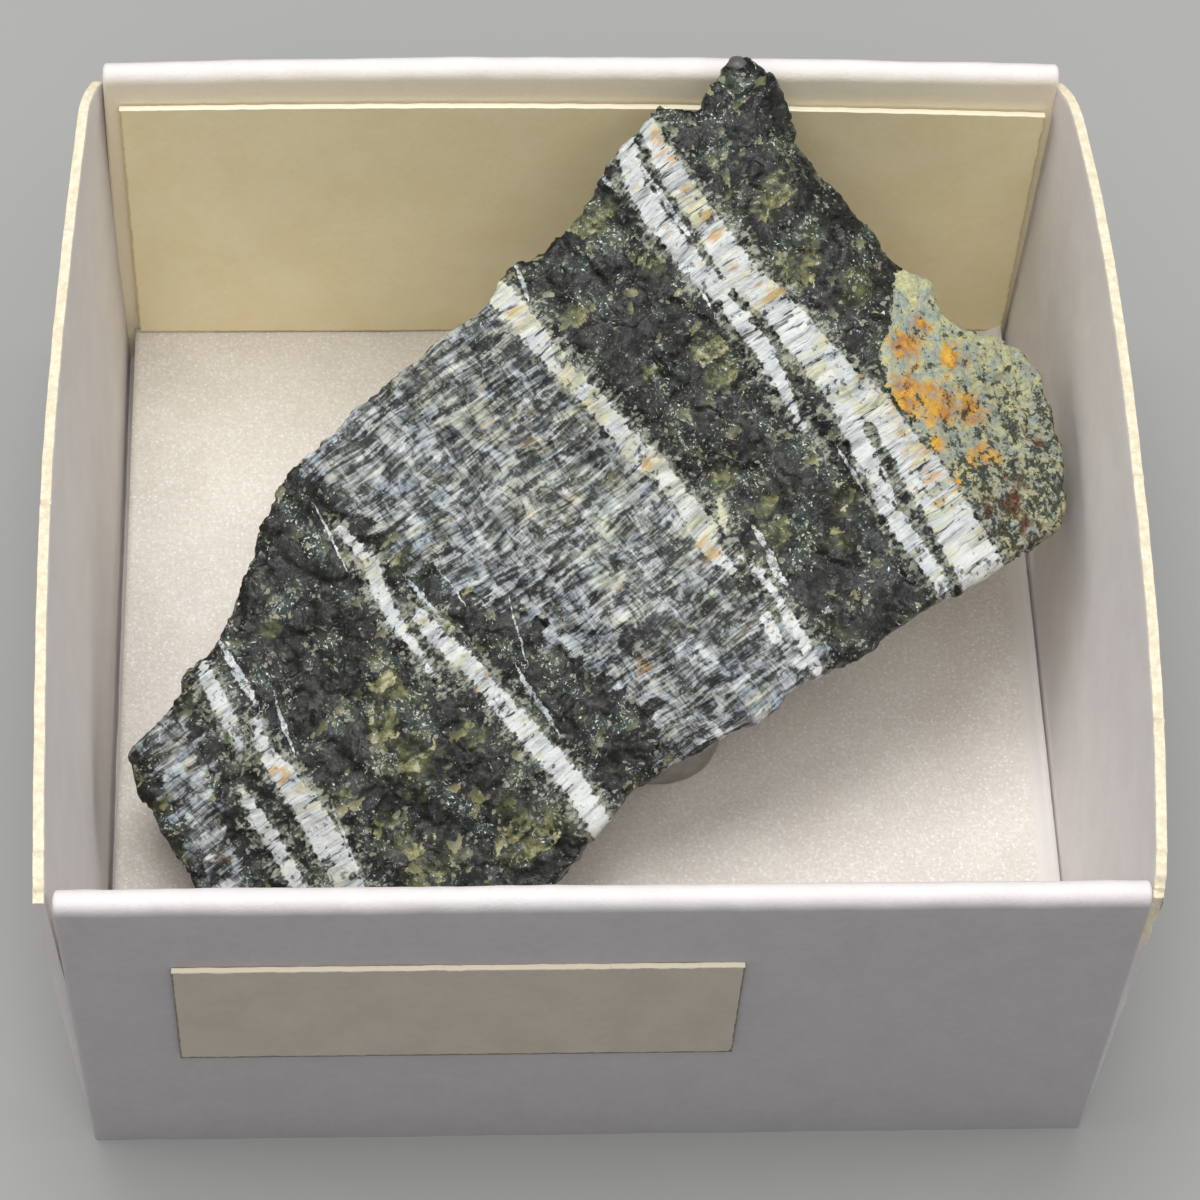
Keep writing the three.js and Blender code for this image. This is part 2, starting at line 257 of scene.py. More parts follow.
# %% Band map
# Each line: tint (0 is bluish white, 1 is cream), then (u, v, half width) from the back edge on.
BANDS = {
    "tip_outer": (0.4, [(-17.2, 4.8, .2), (-17.5, 4, .36), (-17.8, 2.9, .36), (-18.1, 1.8, .3),
                        (-18.3, 1, .12)]),
    "tip_inner": (0.25, [(-17.2, 1.4, .14), (-17.6, .6, .3), (-17.7, -.2, .4), (-17.8, -2.2, .55),
                         (-18, -3.3, .62), (-18.5, -5.4, .64), (-19.3, -9, .6)]),
    "tip_middle": (0.0, [(-19.4, -.3, .1), (-19.5, -.9, .26), (-19.8, -2.6, .36),
                         (-20.2, -4.9, .3)]),
    "dark_main": (0.5, [(-9.5, 5.2, .12), (-9.5, 4.4, .24), (-9.4, 3.4, .34), (-9.9, 2.3, .3),
                        (-10.3, .9, .28), (-10.4, -.7, .18), (-10.7, -2.6, .04)]),
    "front_white": (0.3, [(-9.3, .5, .16), (-9.4, 0, .36), (-9.4, -.9, .4), (-9.2, -2.4, .4),
                          (-9.2, -4.3, .45), (-9.2, -7.5, .48), (-9.2, -9.1, .5),
                          (-9.6, -11.4, .46)]),
    "border": (0.8, [(1.9, 9.4, .4), (1.7, 8.5, .46), (1.6, 7.2, .56), (1.6, 5.7, .5),
                     (1.6, 4.2, .46), (1.7, 2.3, .42), (1.6, -.5, .5), (1.8, -1.8, .42),
                     (1.7, -3.1, .42), (1.6, -4.4, .55), (1.2, -5.5, .3), (1.3, -6.7, .2)]),
    "border_side": (0.9, [(2.8, -4.1, .1), (2.5, -4.7, .2), (2.1, -5.4, .16)]),
    "border_front": (0.0, [(1.9, -6.4, .1), (2.1, -7.4, .14), (2, -8.4, .18), (1.7, -9.7, .26),
                           (1.6, -10.5, .28), (1.3, -11.5, .26), (1.1, -12.3, .2)]),
    "border_chip": (0.4, [(1.2, -8.6, .16), (1, -9.1, .3), (.8, -9.9, .2)]),
    "peak_white": (0.2, [(9.7, 9.8, .4), (9.5, 9.2, .4), (8.8, 8, .42), (8.5, 6.4, .46),
                         (8.4, 4.9, .46), (8.3, 3.6, .5), (8.5, 2.3, .46)]),
    "peak_strand": (0.0, [(8.4, 1.8, .3), (8.3, .8, .42), (8.2, -.7, .4), (8, -1.7, .34),
                          (7.7, -2.8, .22), (7.3, -4.1, .12), (7.3, -5.5, .05)]),
    "peak_cream": (0.75, [(10.8, 9.6, .4), (10.6, 8.8, .42), (10.2, 7.2, .5), (10, 5.9, .56),
                          (9.9, 4.5, .58), (9.6, 3.1, .66), (9.6, 1.7, .76), (9.8, .3, .7),
                          (9.7, -1.1, .78), (9.7, -2.5, .82), (9.6, -4, .86), (9.9, -4.9, .8)]),
    "facet_white": (0.5, [(9.9, -4.9, .7), (10.1, -6, .62), (9.9, -7.2, .68), (9.7, -9.1, .92),
                           (9.5, -10.2, .9), (9.2, -11.4, .9), (9, -12.5, .95), (8.7, -13.6, .9)]),
    "facet_blue": (0.0, [(9.1, -4.7, .5), (8.5, -6.3, .42), (8.2, -7.4, .36), (7.7, -8.7, .36),
                         (7.6, -9.8, .4), (7.4, -11, .38), (7.3, -12.2, .3), (7.2, -13.1, .14)]),
}
# Each hair line: (u, v, half width), as above.
HAIRS = {
    "tip": [(-16.1, 5.1, .08), (-16.3, 4.1, .14), (-16.5, 3, .18), (-16.7, 1.9, .12)],
    "tip_loose": [(-16, 1.5, .05), (-16.4, .6, .1), (-16.8, -.5, .04)],
    "tip_edge": [(-17.1, -3.3, .05), (-17.4, -4.2, .08), (-18.1, -6, .04)],
    "dark_upper": [(-9.7, 6.3, .04), (-10, 5.1, .07), (-10.4, 3.7, .02)],
    "dark_partner": [(-8.8, 1.6, .06), (-8.8, .8, .12), (-8.8, 0, .05)],
    "dark_inner": [(-7.6, 1, .04), (-7.6, .2, .06), (-7.7, -.4, .03)],
    "front": [(-7.8, -3.9, .04), (-8, -4.7, .12), (-8.1, -5.9, .12), (-8.3, -6.9, .04)],
    "front_inner": [(-6.2, -1.5, .03), (-6.7, -2.5, .05), (-7.3, -3.8, .03)],
    "border_outer": [(3, 8.7, .08), (2.7, 7.9, .12), (2.4, 7.2, .06)],
    "border_thread": [(3.1, -5.4, .05), (3.1, -6.2, .12), (2.9, -7, .16), (2.6, -7.9, .18),
                      (2.6, -8.5, .1)],
    "loose": [(7.8, -5.8, .05), (7.6, -6.8, .08), (7.4, -7.8, .03)],
    "wedge": [(8.7, -7.1, .05), (8.5, -7.9, .09), (8.1, -8.9, .04)],
    "peak_chip": [(8, 9.1, .1), (8, 8.7, .14), (8, 8.2, .05)],
    "peak_gap": [(9.4, 8.4, .04), (9.3, 7, .12), (9.1, 5.7, .14), (9, 4.4, .05)],
    "peak_split": [(8, 3.6, .08), (7.9, 2.8, .07), (7.7, 1.9, .04)],
}
HAIR_REACH = 0.45  # farther than this from a hair line, its width is left out


def along_line(flat, line):
    """Signed distance from a band's middle line, and its half width there."""
    best, off, half = np.full(len(flat), 99.0), np.full(len(flat), 99.0), np.zeros(len(flat))
    for (u0, v0, half0), (u1, v1, half1) in zip(line, line[1:]):
        run = np.array([u1 - u0, v1 - v0])
        share = np.clip((flat - (u0, v0)) @ run / (run @ run), 0, 1)
        gap = flat - (u0, v0) - share[:, None] * run
        far = np.linalg.norm(gap, axis=1)
        closer = far < best
        side = np.where(gap @ (-run[1], run[0]) < 0, -1, 1)
        best[closer], off[closer] = far[closer], (far * side)[closer]
        half[closer] = (half0 + share * (half1 - half0))[closer]
    return off, half


def nearest_band(flat):
    """Depth inside the nearest band and that band's tint, for each (u, v) place."""
    depth, tint = np.full(len(flat), -9.0), np.zeros(len(flat))
    for shade, line in BANDS.values():
        off, half = along_line(flat, line)
        inside = half - np.abs(off)
        closer = inside > depth
        depth[closer], tint[closer] = inside[closer], shade
    return depth, tint


def nearest_hair(flat):
    """Signed distance from the nearest hair line and its half width, or 0 well away from it."""
    nearest, width = np.full(len(flat), 1.0), np.zeros(len(flat))
    for line in HAIRS.values():
        off, half = along_line(flat, line)
        closer = np.abs(off) < np.abs(nearest)
        nearest[closer] = off[closer]
        width[closer] = np.where(np.abs(off) < HAIR_REACH, half, 0)[closer]
    return nearest, width


print(f"{len(BANDS)} bands and {len(HAIRS)} hairs")

# %% [markdown]
# ## Zones and patches
#
# Between two of the bands the rock is striped all through with short fibres, and one corner
# is a weathered, granular facet. Both are areas with an outline, so a point asks for its
# distance to the outline, positive inside. Patches of olive serpentine and rust stains are
# smaller and softer, and each is only a place and a reach.

# %% Zone map
STRIPED_ZONES = {
    "middle": [(-9.3, 9.2), (-8.6, 6.6), (-8.4, 3.6), (-7.7, 0.8), (-6.7, -1.5), (-5.8, -3),
               (-6, -5), (-5.1, -7), (-5.2, -9), (-6.4, -12), (1.6, -13), (1.3, -7.4),
               (1.4, -4.2), (1.6, 9.2)],
    "tip": [(-21.4, 5), (-19.2, 4.6), (-19.4, 2.9), (-20.3, .4), (-21.2, -1.7), (-22.4, -5),
            (-23, -9), (-24, -9), (-23.4, -5), (-22.7, -2), (-22, .3), (-21.65, 2.1),
            (-21.55, 3.5)],
}
WEATHERED = [(14.6, -1.7), (12.9, -3.2), (11.8, -3.8), (10.9, -5.3), (10.8, -7.8), (10.5, -10.2),
             (10, -13.4), (11, -16), (19, -16), (19, -2)]
# Patches and stains: (u, v, reach).
OLIVE = [
    (6.2, 7.9, .8), (7, 8.1, .8), (9.4, 8.3, .4), (9.2, 6.6, .4), (12.6, 3.7, 1), (13.2, 4, .8),
    (11.7, 1, 1), (12.8, -1.1, 1), (10.5, 2.2, .5), (8.7, -.8, .5), (8.6, -1.9, .6), (3.3, 5.4, .6),
    (4.2, 1.5, .7), (6.5, 0, .9), (6.7, 1, .8), (7.3, 5, .7), (4, -6.8, 1.1), (3, -7.3, .8),
    (4.2, -5.6, .7), (5.4, -8.5, .6), (6.6, -7.5, .8), (2, -6.6, .5), (3.5, -3.7, .8),
    (3, -11.6, .7), (-22.1, 3.5, .5), (-18.6, 3.9, .5), (-18.8, -3.2, .5), (-12.3, -1.2, 1),
    (-13.2, -1.9, .8), (-14.1, -2.5, .6), (-13.6, -3.9, 1.2), (-12.6, -3.8, .8), (-15.8, -7.7, 1.4),
    (-14.6, -8.2, .8), (-15.9, -5.7, .9), (-11.8, -7.4, .8), (-11, -4.7, .7), (-11.8, .3, .6),
    (-9.1, -.6, .5), (-8.5, 2.9, .7), (-6.6, .1, .8), (-11.4, -9.4, 1.2), (-12.5, -9.5, 1),
    (-14.3, 3.9, .6), (-16.7, -3.2, .8), (-22.2, 1.4, .5), (-22.7, -.8, .5),
]
RUST = [
    (1.7, 7.3, .6), (1.6, 1.9, .35), (1.6, -1, .4), (1.2, -5.4, .5), (-3.4, -6.9, .6),
    (-3.9, -7.2, .4), (-1.4, 3.2, .5), (10.8, 8.6, .5), (10.6, 7.7, .6), (10.2, 6.4, .5),
    (9.9, 5.8, .5), (10.1, 4.8, .4), (9.9, 4.2, .4), (9.5, 2.6, .5), (9.9, 1.4, .4), (9.9, .6, .5),
    (10.4, -4.1, .5), (10.9, -6.2, .4), (10.2, -7.1, .4), (10.6, -8.3, .5), (9.9, -9, .8),
    (10.4, -10, .4), (9.4, -9.9, .5), (-9.7, -3.1, .5), (-18, -.5, .4), (-21.8, -2, .5),
    (-17.8, -1, .4), (13.9, -3.9, .7), (12.7, -4.3, .9), (14.1, -5.8, .8), (11.4, -5.9, 1.2),
    (11.9, -7, 1.3), (13.2, -8, .8), (11, -8.2, .6), (12.2, -9.7, .7),
]
BROWN = [
    (11.6, -11.9, .8), (11.6, -13.2, .7), (10.7, -11.6, .6), (12.5, -11.4, .7), (14.5, -10.8, .7),
]


def zone_depth(flat, outline):
    """Distance to an outline in the face's plane, positive inside."""
    inside, nearest = np.zeros(len(flat), bool), np.full(len(flat), 99.0)
    for start, end in zip(outline, outline[1:] + outline[:1]):
        run = np.subtract(end, start)
        share = np.clip((flat - start) @ run / (run @ run), 0, 1)
        nearest = np.minimum(nearest, np.linalg.norm(flat - start - share[:, None] * run, axis=1))
        crosses = (flat[:, 1] < start[1]) != (flat[:, 1] < end[1])
        rise = run[1] if run[1] else 1e-9
        inside ^= crosses & (flat[:, 0] < start[0] + (flat[:, 1] - start[1]) / rise * run[0])
    return np.where(inside, nearest, -nearest)


def patch_depth(flat, patches):
    """1 in the middle of a patch, 0 at its reach and negative outside."""
    depth = np.full(len(flat), -2.0)
    for u, v, reach in patches:
        depth = np.maximum(depth, 1 - np.linalg.norm(flat - (u, v), axis=1) / reach)
    return depth


print(f"{len(STRIPED_ZONES)} striped zones, {len(OLIVE)} olive patches and {len(RUST)} rust stains")

# %% [markdown]
# ## The broken surface
#
# The CAD solid has the slab's main shape in faces of about a millimetre. A voxel remesh
# turns it into an even skin, and the face, which is what one looks at, is divided once more.
# Serpentine breaks into small tilted flakes, so every point belongs to a cell of its own tilt
# and height. Fibre bands stand proud in steps, and the weathered facet is grainy.

# %% Slab skin
SKIN = 0.252  # size of the skin's faces, halved on the broken face
FACING = 0.45  # how squarely a part must look out of the broken face to count as it
slab = bpy.data.objects.new("serpentine_slab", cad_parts["serpentine_rock"].data.copy())
slab.data.transform(Matrix.Scale(1 / MM, 4))
bpy.context.scene.collection.objects.link(slab)
add_modifier(slab, "REMESH", mode="VOXEL", voxel_size=SKIN)
add_modifier(slab, "SMOOTH", factor=0.5, iterations=5)
apply_modifiers(slab)

skin = bmesh.new()
skin.from_mesh(slab.data)
toward = Vector(slab_axes[2])
facing = {edge for face in skin.faces if face.normal.dot(toward) > FACING for edge in face.edges}
bmesh.ops.subdivide_edges(skin, edges=list(facing), cuts=1, use_grid_fill=True)
bmesh.ops.triangulate(skin, faces=[face for face in skin.faces if len(face.verts) > 4])
skin.to_mesh(slab.data)
skin.free()
print("Slab skin:", len(slab.data.vertices), "points")

# %% Flakes and fibre ridges
FLAKES = [(1.7, 0.1, 0.05), (0.7, 0.16, 0.03)]  # size, tilt and step of the broken flakes
FIBRE_TURN = math.radians(-4)  # fibres lie nearly across the bands
FACET_FRONT = dict(start=-4, reach=7)  # the facet darkens towards the front, along v
# The peak is blunt, with a full right shoulder: (place, reach, swell).
PEAK = [((15.0, 8.7, -0.3), 2.2, 0.5), ((15.8, 7.5, -0.3), 1.8, 0.42)]
LOWEST, HIGHEST = -0.3, 0.62  # limits of the relief


def flake_height(point):
    """Height of the flake that a point lies on."""
    height = 0.0
    for size, tilt, step in FLAKES:
        spot = Vector(point) / size
        spot += 0.3 * noise.noise_vector(spot * 0.9)
        middle = noise.voronoi(spot)[1][0]
        lean = noise.cell_vector(middle * 91.7) - Vector((0.5, 0.5, 0.5))
        height += size * tilt * lean.dot(spot - middle) * 2 + step * (lean.z * 2)
    return height


def fibre_height(u, v, w):
    """Ridges of fibre bundles that step up and down from one bundle to the next."""
    along = u * math.cos(FIBRE_TURN) + v * math.sin(FIBRE_TURN)
    beside = v * math.cos(FIBRE_TURN) - u * math.sin(FIBRE_TURN)
    shift = noise.noise(Vector((u, v, w)))
    bundle = noise.cell_vector(Vector((along * 0.8 + shift, beside * 2.0, 0)))
    return 0.08 * (bundle.x - 0.5) + 0.02 * noise.noise(Vector((along * 0.5, beside * 3.5, w)))


print("A flake at the middle of the face stands", round(flake_height((0, 0, 0)), 3), "mm high")


# %% Slab relief
def vertex_array(mesh, field="co"):
    values = np.empty(len(mesh.vertices) * 3)
    mesh.vertices.foreach_get(field, values)
    return values.reshape(-1, 3)


def clamp01(value):
    return min(1, max(0, value))


points = vertex_array(slab.data)
place = on_slab(points)
flat = place[:, :2]
band, tint = nearest_band(flat)
hair_off, hair_half = nearest_hair(flat)
striped = np.maximum.reduce([zone_depth(flat, outline) for outline in STRIPED_ZONES.values()])
weathered = zone_depth(flat, WEATHERED)
fields = {
    "band": band, "tint": tint, "striped": striped, "weathered": weathered,
    "olive": patch_depth(flat, OLIVE), "rust": patch_depth(flat, RUST),
    "brown": patch_depth(flat, BROWN), "facet_front": np.clip(
        (FACET_FRONT["start"] - flat[:, 1]) / FACET_FRONT["reach"], 0, 1),
    "hair_off": hair_off, "hair_half": hair_half,
}

lift = np.zeros(len(points))
for k, (u, v, w) in enumerate(place):
    in_band = clamp01(0.5 + band[k] * 4)
    in_stripes = clamp01(0.5 + striped[k] * 2) * 0.8
    in_grain = clamp01(0.5 + weathered[k] * 2)
    fibrous = max(in_band, in_stripes) * (1 - in_grain)
    spot = Vector((u, v, w))
    lift[k] = (1 - 0.75 * fibrous) * flake_height(spot) + 0.05 * noise.noise(spot * 1.1)
    lift[k] += fibrous * fibre_height(u, v, w) + in_band * (0.04 + 0.06 * noise.noise(spot * 0.7))
    lift[k] += 0.04 * (0.4 + in_grain) * noise.noise(spot * 3.3) + 0.02 * noise.noise(spot * 7)

for at, reach, swell in PEAK:
    lift += swell * np.clip(1 - np.linalg.norm(place - at, axis=1) / reach, 0, 1)
points += vertex_array(slab.data, "normal") * np.clip(lift, LOWEST, HIGHEST)[:, None]
slab.data.vertices.foreach_set("co", points.ravel())
slab.data.update()
for name, values in fields.items():
    give_field(slab, name, values)
slab.data.attributes.new("place", "FLOAT_VECTOR", "POINT").data.foreach_set("vector", place.ravel())
print("Relief from", lift.min().round(2), "to", lift.max().round(2))

# %% [markdown]
# ## Serpentine finish
#
# Three rocks in one: dark serpentine full of tiny pale flakes, white silky fibre, and the
# weathered facet. Each is a colour of its own, and the fields on the skin say where each one
# shows. Noise drawn out along the fibres frays every edge, because a mineral has no outline
# that a brush could paint.

# %% Serpentine: places
stone = Finish("banded serpentine", Roughness=0.5, Specular_IOR_Level=0.35)
place = stone.attribute("place", 1)


def pushed(place, scale, reach):
    """The place, pushed about by noise, so that what is drawn on it wanders."""
    push = stone.vector("SUBTRACT", stone.noise(place, scale, 1, 0.5, 1), (0.5, 0.5, 0.5))
    return stone.node("ShaderNodeVectorMath", {"operation": "MULTIPLY_ADD"}, {
        0: push, 1: (reach, reach, reach), 2: place})


wavy = pushed(place, 0.7, 0.6)
rough = pushed(wavy, 4.0, 0.25)
combed, jogged = (stone.node("ShaderNodeVectorRotate", {"rotation_type": "Z_AXIS"}, {
    "Vector": pushed(place, *push), "Angle": -FIBRE_TURN}) for push in ((0.25, 1.2), (0.9, 0.4)))


def drawn_out(along, beside):
    """The place, squeezed so that noise on it runs out into fibres."""
    return stone.vector("MULTIPLY", combed, (along, beside, beside * 0.5))


def parts(vector, kind="ShaderNodeSeparateXYZ", name="Vector"):
    split = stone.node(kind, {}, {name: vector})
    return [Socket(stone, split.output.node.outputs[k]) for k in range(3)]


STAGGER = 0.618  # sets the blocks of a rank off against those of the next


def blocks(place, long, tall, seed):
    """Ranks of stacked blocks. Gives each block three chances, and a place's height in it."""
    u, v, _ = parts(place)
    rank = u / long + seed
    row = rank.math("FLOOR", rank)
    pile = v / tall + row * STAGGER
    step = pile.math("FLOOR", pile)
    spot = stone.node("ShaderNodeCombineXYZ", {}, {0: row, 1: step})
    chance = stone.node(
        "ShaderNodeTexWhiteNoise", {"noise_dimensions": "2D"}, {"Vector": spot}, 1)
    return parts(chance, "ShaderNodeSeparateColor", "Color"), pile - step


def cells(place, scale, output="Color", feature="F1"):
    made = stone.node("ShaderNodeTexVoronoi", {"feature": feature}, {
        "Vector": place, "Scale": scale})
    return Socket(stone, made.output.node.outputs[output])


def fragments(scale):
    """Angular bits: three chances each, depth inside, and how far down the face a place lies."""
    chances = parts(cells(rough, scale), "ShaderNodeSeparateColor", "Color")
    depth = cells(rough, scale, "Distance", "DISTANCE_TO_EDGE")
    off = parts(stone.vector("SUBTRACT", rough, cells(rough, scale, "Position")))
    return chances, depth, 0 - off[1] * scale


def facets(place, scale):
    """Height of small planes, each tilted its own way."""
    lean = stone.vector("SUBTRACT", cells(place, scale), (0.5, 0.5, 0.5))
    off = stone.vector("SUBTRACT", place, cells(place, scale, "Position"))
    made = stone.vector("DOT_PRODUCT", lean, off)
    return Socket(stone, made.output.node.outputs["Value"])


hairs = stone.noise(drawn_out(0.8, 8.0), 1, 2, 0.6)
lines = stone.noise(drawn_out(0.5, 3.6), 1, 3, 0.6)
drift = stone.noise(place, 0.5, 2, 0.5)
clouds = stone.noise(wavy, 1.0, 3, 0.55)
ground = stone.noise(wavy, 2.3, 4, 0.62)
grit = stone.noise(place, 4.6, 3, 0.62)
dust = stone.noise(place, 10.0, 2, 0.6)
crowd = stone.noise(place, 0.8, 2, 0.5)
print("Noise that the three rocks share:", len(stone.tree.nodes), "nodes")

# %% [markdown]
# ## Dark rock
#
# The dark rock is nearly black glassy serpentine with a teal or olive bloom. Broken bits of
# three sizes lie in it: olive lumps, greenish chips and tiny flakes. They are angular, so each
# kind is made of cells, of which chance keeps a few. Lumps and chips are painted paler along
# their lower side, and lumps get a pale rim there: painted light that makes them look cut.
# White specks, the peaks of a fine noise, are painted glints.

# %% Serpentine: dark rock
deep = stone.node("ShaderNodeValToRGB", {"stops": [
    (0.34, "#0f100f"), (0.5, "#171916"), (0.58, "#272b25"), (0.66, "#454a3f"), (0.76, "#6b6f60")]},
    {"Fac": ground * 0.7 + grit * 0.3})
teal = stone.noise(wavy, 0.8, 3, 0.55)
teal_tone = stone.mix(drift.rise(0.4, 0.6), "#2f4340", "#414e37")
deep = stone.mix(teal.rise(0.52, 0.68) * 0.7, deep, teal_tone)
deep_olive = (stone.attribute("olive") * 0.7 + clouds.swing(2.6)).rise(-0.1, 0.9)
deep = stone.mix(deep_olive * 0.75, deep, stone.mix(ground.rise(0.4, 0.62), "#3a4029", "#66683f"))

olive_reach = stone.attribute("olive").rise(-0.5, 0.8)
lump, lump_depth, lit_lump_side = fragments(0.85)
lump_mask = (lump[0] * 0.6 + olive_reach * 0.7 + clouds.swing(0.6)
             + ground.swing(1.3) + grit.swing(0.5)).rise(0.84, 0.9)
lump_mask = lump_mask * (lump_depth + (lit_lump_side + 0.2) * 0.12).rise(0.0, 0.04)
# painted light: the lump's tone and share grow lighter along its lower side
lump_tone = stone.node("ShaderNodeValToRGB", {"stops": [
    (0.1, "#2a301f"), (0.35, "#4d5235"), (0.6, "#717248"), (0.8, "#949164"), (1.0, "#b9b695")]},
    {"Fac": 0.34 + lit_lump_side * 0.4 + ground.swing(2.2) + grit.swing(0.8)
            + lump[1].swing(0.5)})
dark = stone.mix(lump_mask * (0.65 + lit_lump_side * 0.7), deep, lump_tone)
# painted highlight: a pale rim along the lump's lower side
lit_lump_rim = (1 - (lump_depth + dust.swing(0.1)).rise(0.02, 0.07)) * lit_lump_side.rise(0.15, 0.3)
dark = stone.mix(lump_mask * lit_lump_rim * lump[2] * grit.rise(0.45, 0.55) * 0.7, dark, "#b9b590")

chip, chip_depth, lit_chip_side = fragments(2.1)
chip_mask = (chip[0] + olive_reach * 0.16 + crowd.swing(0.6)).rise(0.92, 0.95)
chip_mask = chip_mask * (chip_depth + grit.swing(0.4)).rise(0.02, 0.07)
chip_tone = stone.mix(chip[1], stone.mix(chip[2], "#595c4c", "#8e8e74"),
                      stone.mix(chip[2], "#5c6136", "#a39d6c"))
# painted light: chips show more strongly along their lower side
dark = stone.mix(chip_mask * (0.55 + lit_chip_side * 0.8), dark, chip_tone)

flake = parts(cells(rough, 5.2), "ShaderNodeSeparateColor", "Color")
flake_depth = 0.55 - cells(rough, 5.2, "Distance")
flake_mask = (flake[0] + crowd.swing(1.0)).rise(0.9, 0.93)
flake_mask = flake_mask * (flake_depth + dust.swing(0.3)).rise(0.0, 0.05)
flake_tone = stone.mix(flake[2], "#9a9b94", "#a3a184")
dark = stone.mix(flake_mask * (0.25 + flake[1] * 0.6), dark, flake_tone)
speck_and_glint = stone.noise(rough, 8.0, 3, 0.65) + crowd.swing(0.35)
dark = stone.mix(speck_and_glint.rise(0.58, 0.64) * 0.5, dark, "#7d7e76")
# painted highlight: the highest specks are near-white glints, while the lower ones are grey flakes
dark = stone.mix(speck_and_glint.rise(0.66, 0.71), dark, "#e3e6df")
print("With the dark rock:", len(stone.tree.nodes), "nodes")

# %% [markdown]
# ## Fibre
#
# White fibre lies in silky bundles that cross the bands. Noise drawn out along the fibres gives
# the silk, and stacked blocks with a chance each make bundles end against one another. In the
# bands the fibre is bright and dense. In the striped zones it is greyer and broken by pits, in
# which the dark rock shows. Cream, blue and rust are laid over it thinly, as stains are.

# %% Serpentine: fibre
coarse, _ = blocks(jogged, 0.85, 0.36, 0.3)
fine, _ = blocks(jogged, 0.37, 0.14, 0.7)
stack, stack_height = blocks(jogged, 2.9, 0.3, 0.1)
ranks = stone.noise(stone.vector("MULTIPLY", wavy, (1.5, 0.28, 0.4)), 1, 3, 0.6)
streaks = stone.noise(drawn_out(0.35, 2.2), 1, 2, 0.5)

depth = stone.attribute("band")
band_light = (0.81 + stack[0].swing(0.14) + streaks.swing(1.0) + hairs.swing(0.8)
              + lines.swing(0.7) + grit.swing(0.3))
crack = abs(stack_height - 0.5).rise(0.42, 0.47) * stack[2].rise(0.74, 0.78)
band_light = band_light - crack * 0.3 - (1 - lines.rise(0.33, 0.39)) * 0.45
spots = (ground * 0.5 + grit * 0.5 + crowd.swing(0.4)).rise(0.56, 0.65)
band_light = band_light - spots * 0.45
zone_light = (0.475 + coarse[0].swing(0.24) + fine[0].swing(0.14) + hairs.swing(1.0)
              + lines.swing(0.9) + ranks.swing(0.8) + ground.swing(0.7))
pits = (ranks * 0.5 + ground * 0.5 + coarse[1].swing(0.1) + grit.swing(0.45)
        + lines.swing(1.0)).rise(0.37, 0.49)
seams = 1 - abs(ranks - 0.5).rise(0.004, 0.024)
zone_light = zone_light - (1 - pits) * 0.1 - seams * 0.18

band_mask = (depth + stack[1].swing(0.12) + fine[2].swing(0.06) + lines.swing(0.3)
             + ground.swing(0.4) + grit.swing(0.3)).rise(-0.04, 0.06)
hair_off = abs(stone.attribute("hair_off") + ground.swing(0.2))
hair_mask = stone.attribute("hair_half") * (0.9 + lines.swing(2.5)) - hair_off
hair_mask = hair_mask.rise(-0.015, 0.02)
hair_mask = hair_mask * (0.5 + 0.5 * grit.rise(0.4, 0.5))
zone_mask = (stone.attribute("striped") + coarse[2].swing(0.9) + lines.swing(1.4)
             + ground.swing(1.5)).rise(-0.15, 0.15) * (0.25 + pits * 0.75)
light = zone_light + band_mask.most(hair_mask) * (band_light - zone_light)


def tinted(share, colour):
    """The silk, with that share of a thin colour over it."""
    return stone.mix(share, silk, stone.mix(1.0, silk, colour, "MULTIPLY"))


silk = stone.node("ShaderNodeValToRGB", {"stops": [
    (0.08, "#1d1f1e"), (0.26, "#4b4e4d"), (0.45, "#858989"), (0.62, "#b3b8b9"), (0.9, "#dfe1dd")]},
    {"Fac": light})
cream_share = (stone.attribute("tint") * 0.7 + stack[2].swing(0.4) + coarse[1].swing(0.6)
               + drift.swing(1.6) + lines.swing(1.2)).rise(0.25, 0.9)
silk = tinted(cream_share * (0.55 + band_mask * 0.25), "#f0e9be")
blue_share = (coarse[2] * 0.6 + streaks * 0.8 + drift.swing(1.0)).rise(0.6, 1.0)
silk = tinted(blue_share * (0.7 - band_mask * 0.35), "#c9d5e6")
rust_share = stone.attribute("rust") * 0.9 + stack[0].swing(0.9) + lines.swing(2.5)
rust_share = rust_share.rise(0.1, 0.8)
speck_rust = (fine[1] * 0.7 + coarse[1] * 0.3 + ranks.swing(0.4)).rise(0.86, 0.96) * 0.5
silk = tinted(rust_share.most(speck_rust) * 0.75, "#e6b263")
fibre_mask = band_mask.most(zone_mask).most(hair_mask)
zone_grit = (grit * 0.6 + dust * 0.4).rise(0.54, 0.62) * (1 - band_mask.most(hair_mask)) * 0.3
silk = stone.mix(zone_grit, silk, stone.mix(fine[2], "#23241f", "#55543c"))
halo = depth + 0.38 + ground.swing(2.2) + grit.swing(1.2) + lines.swing(1.5)
halo = halo.rise(0.0, 0.35)
halo_tone = stone.mix((grit * 0.5 + hairs * 0.5).rise(0.42, 0.58), "#454b40", "#aeb19f")
dark = stone.mix(halo * 0.72, dark, halo_tone)
fresh = stone.mix(fibre_mask, dark, silk)
print("With the fibre:", len(stone.tree.nodes), "nodes")

# %% [markdown]
# ## Weathered facet
#
# The facet is a granular crust of pale yellow and grey-blue, with black grains and with rust
# where water stood. Its grains have no shape of their own, so layered noise with a sharp step
# is enough. Last, the three rocks are joined, and the small relief that is too fine for the
# skin goes into the bump.

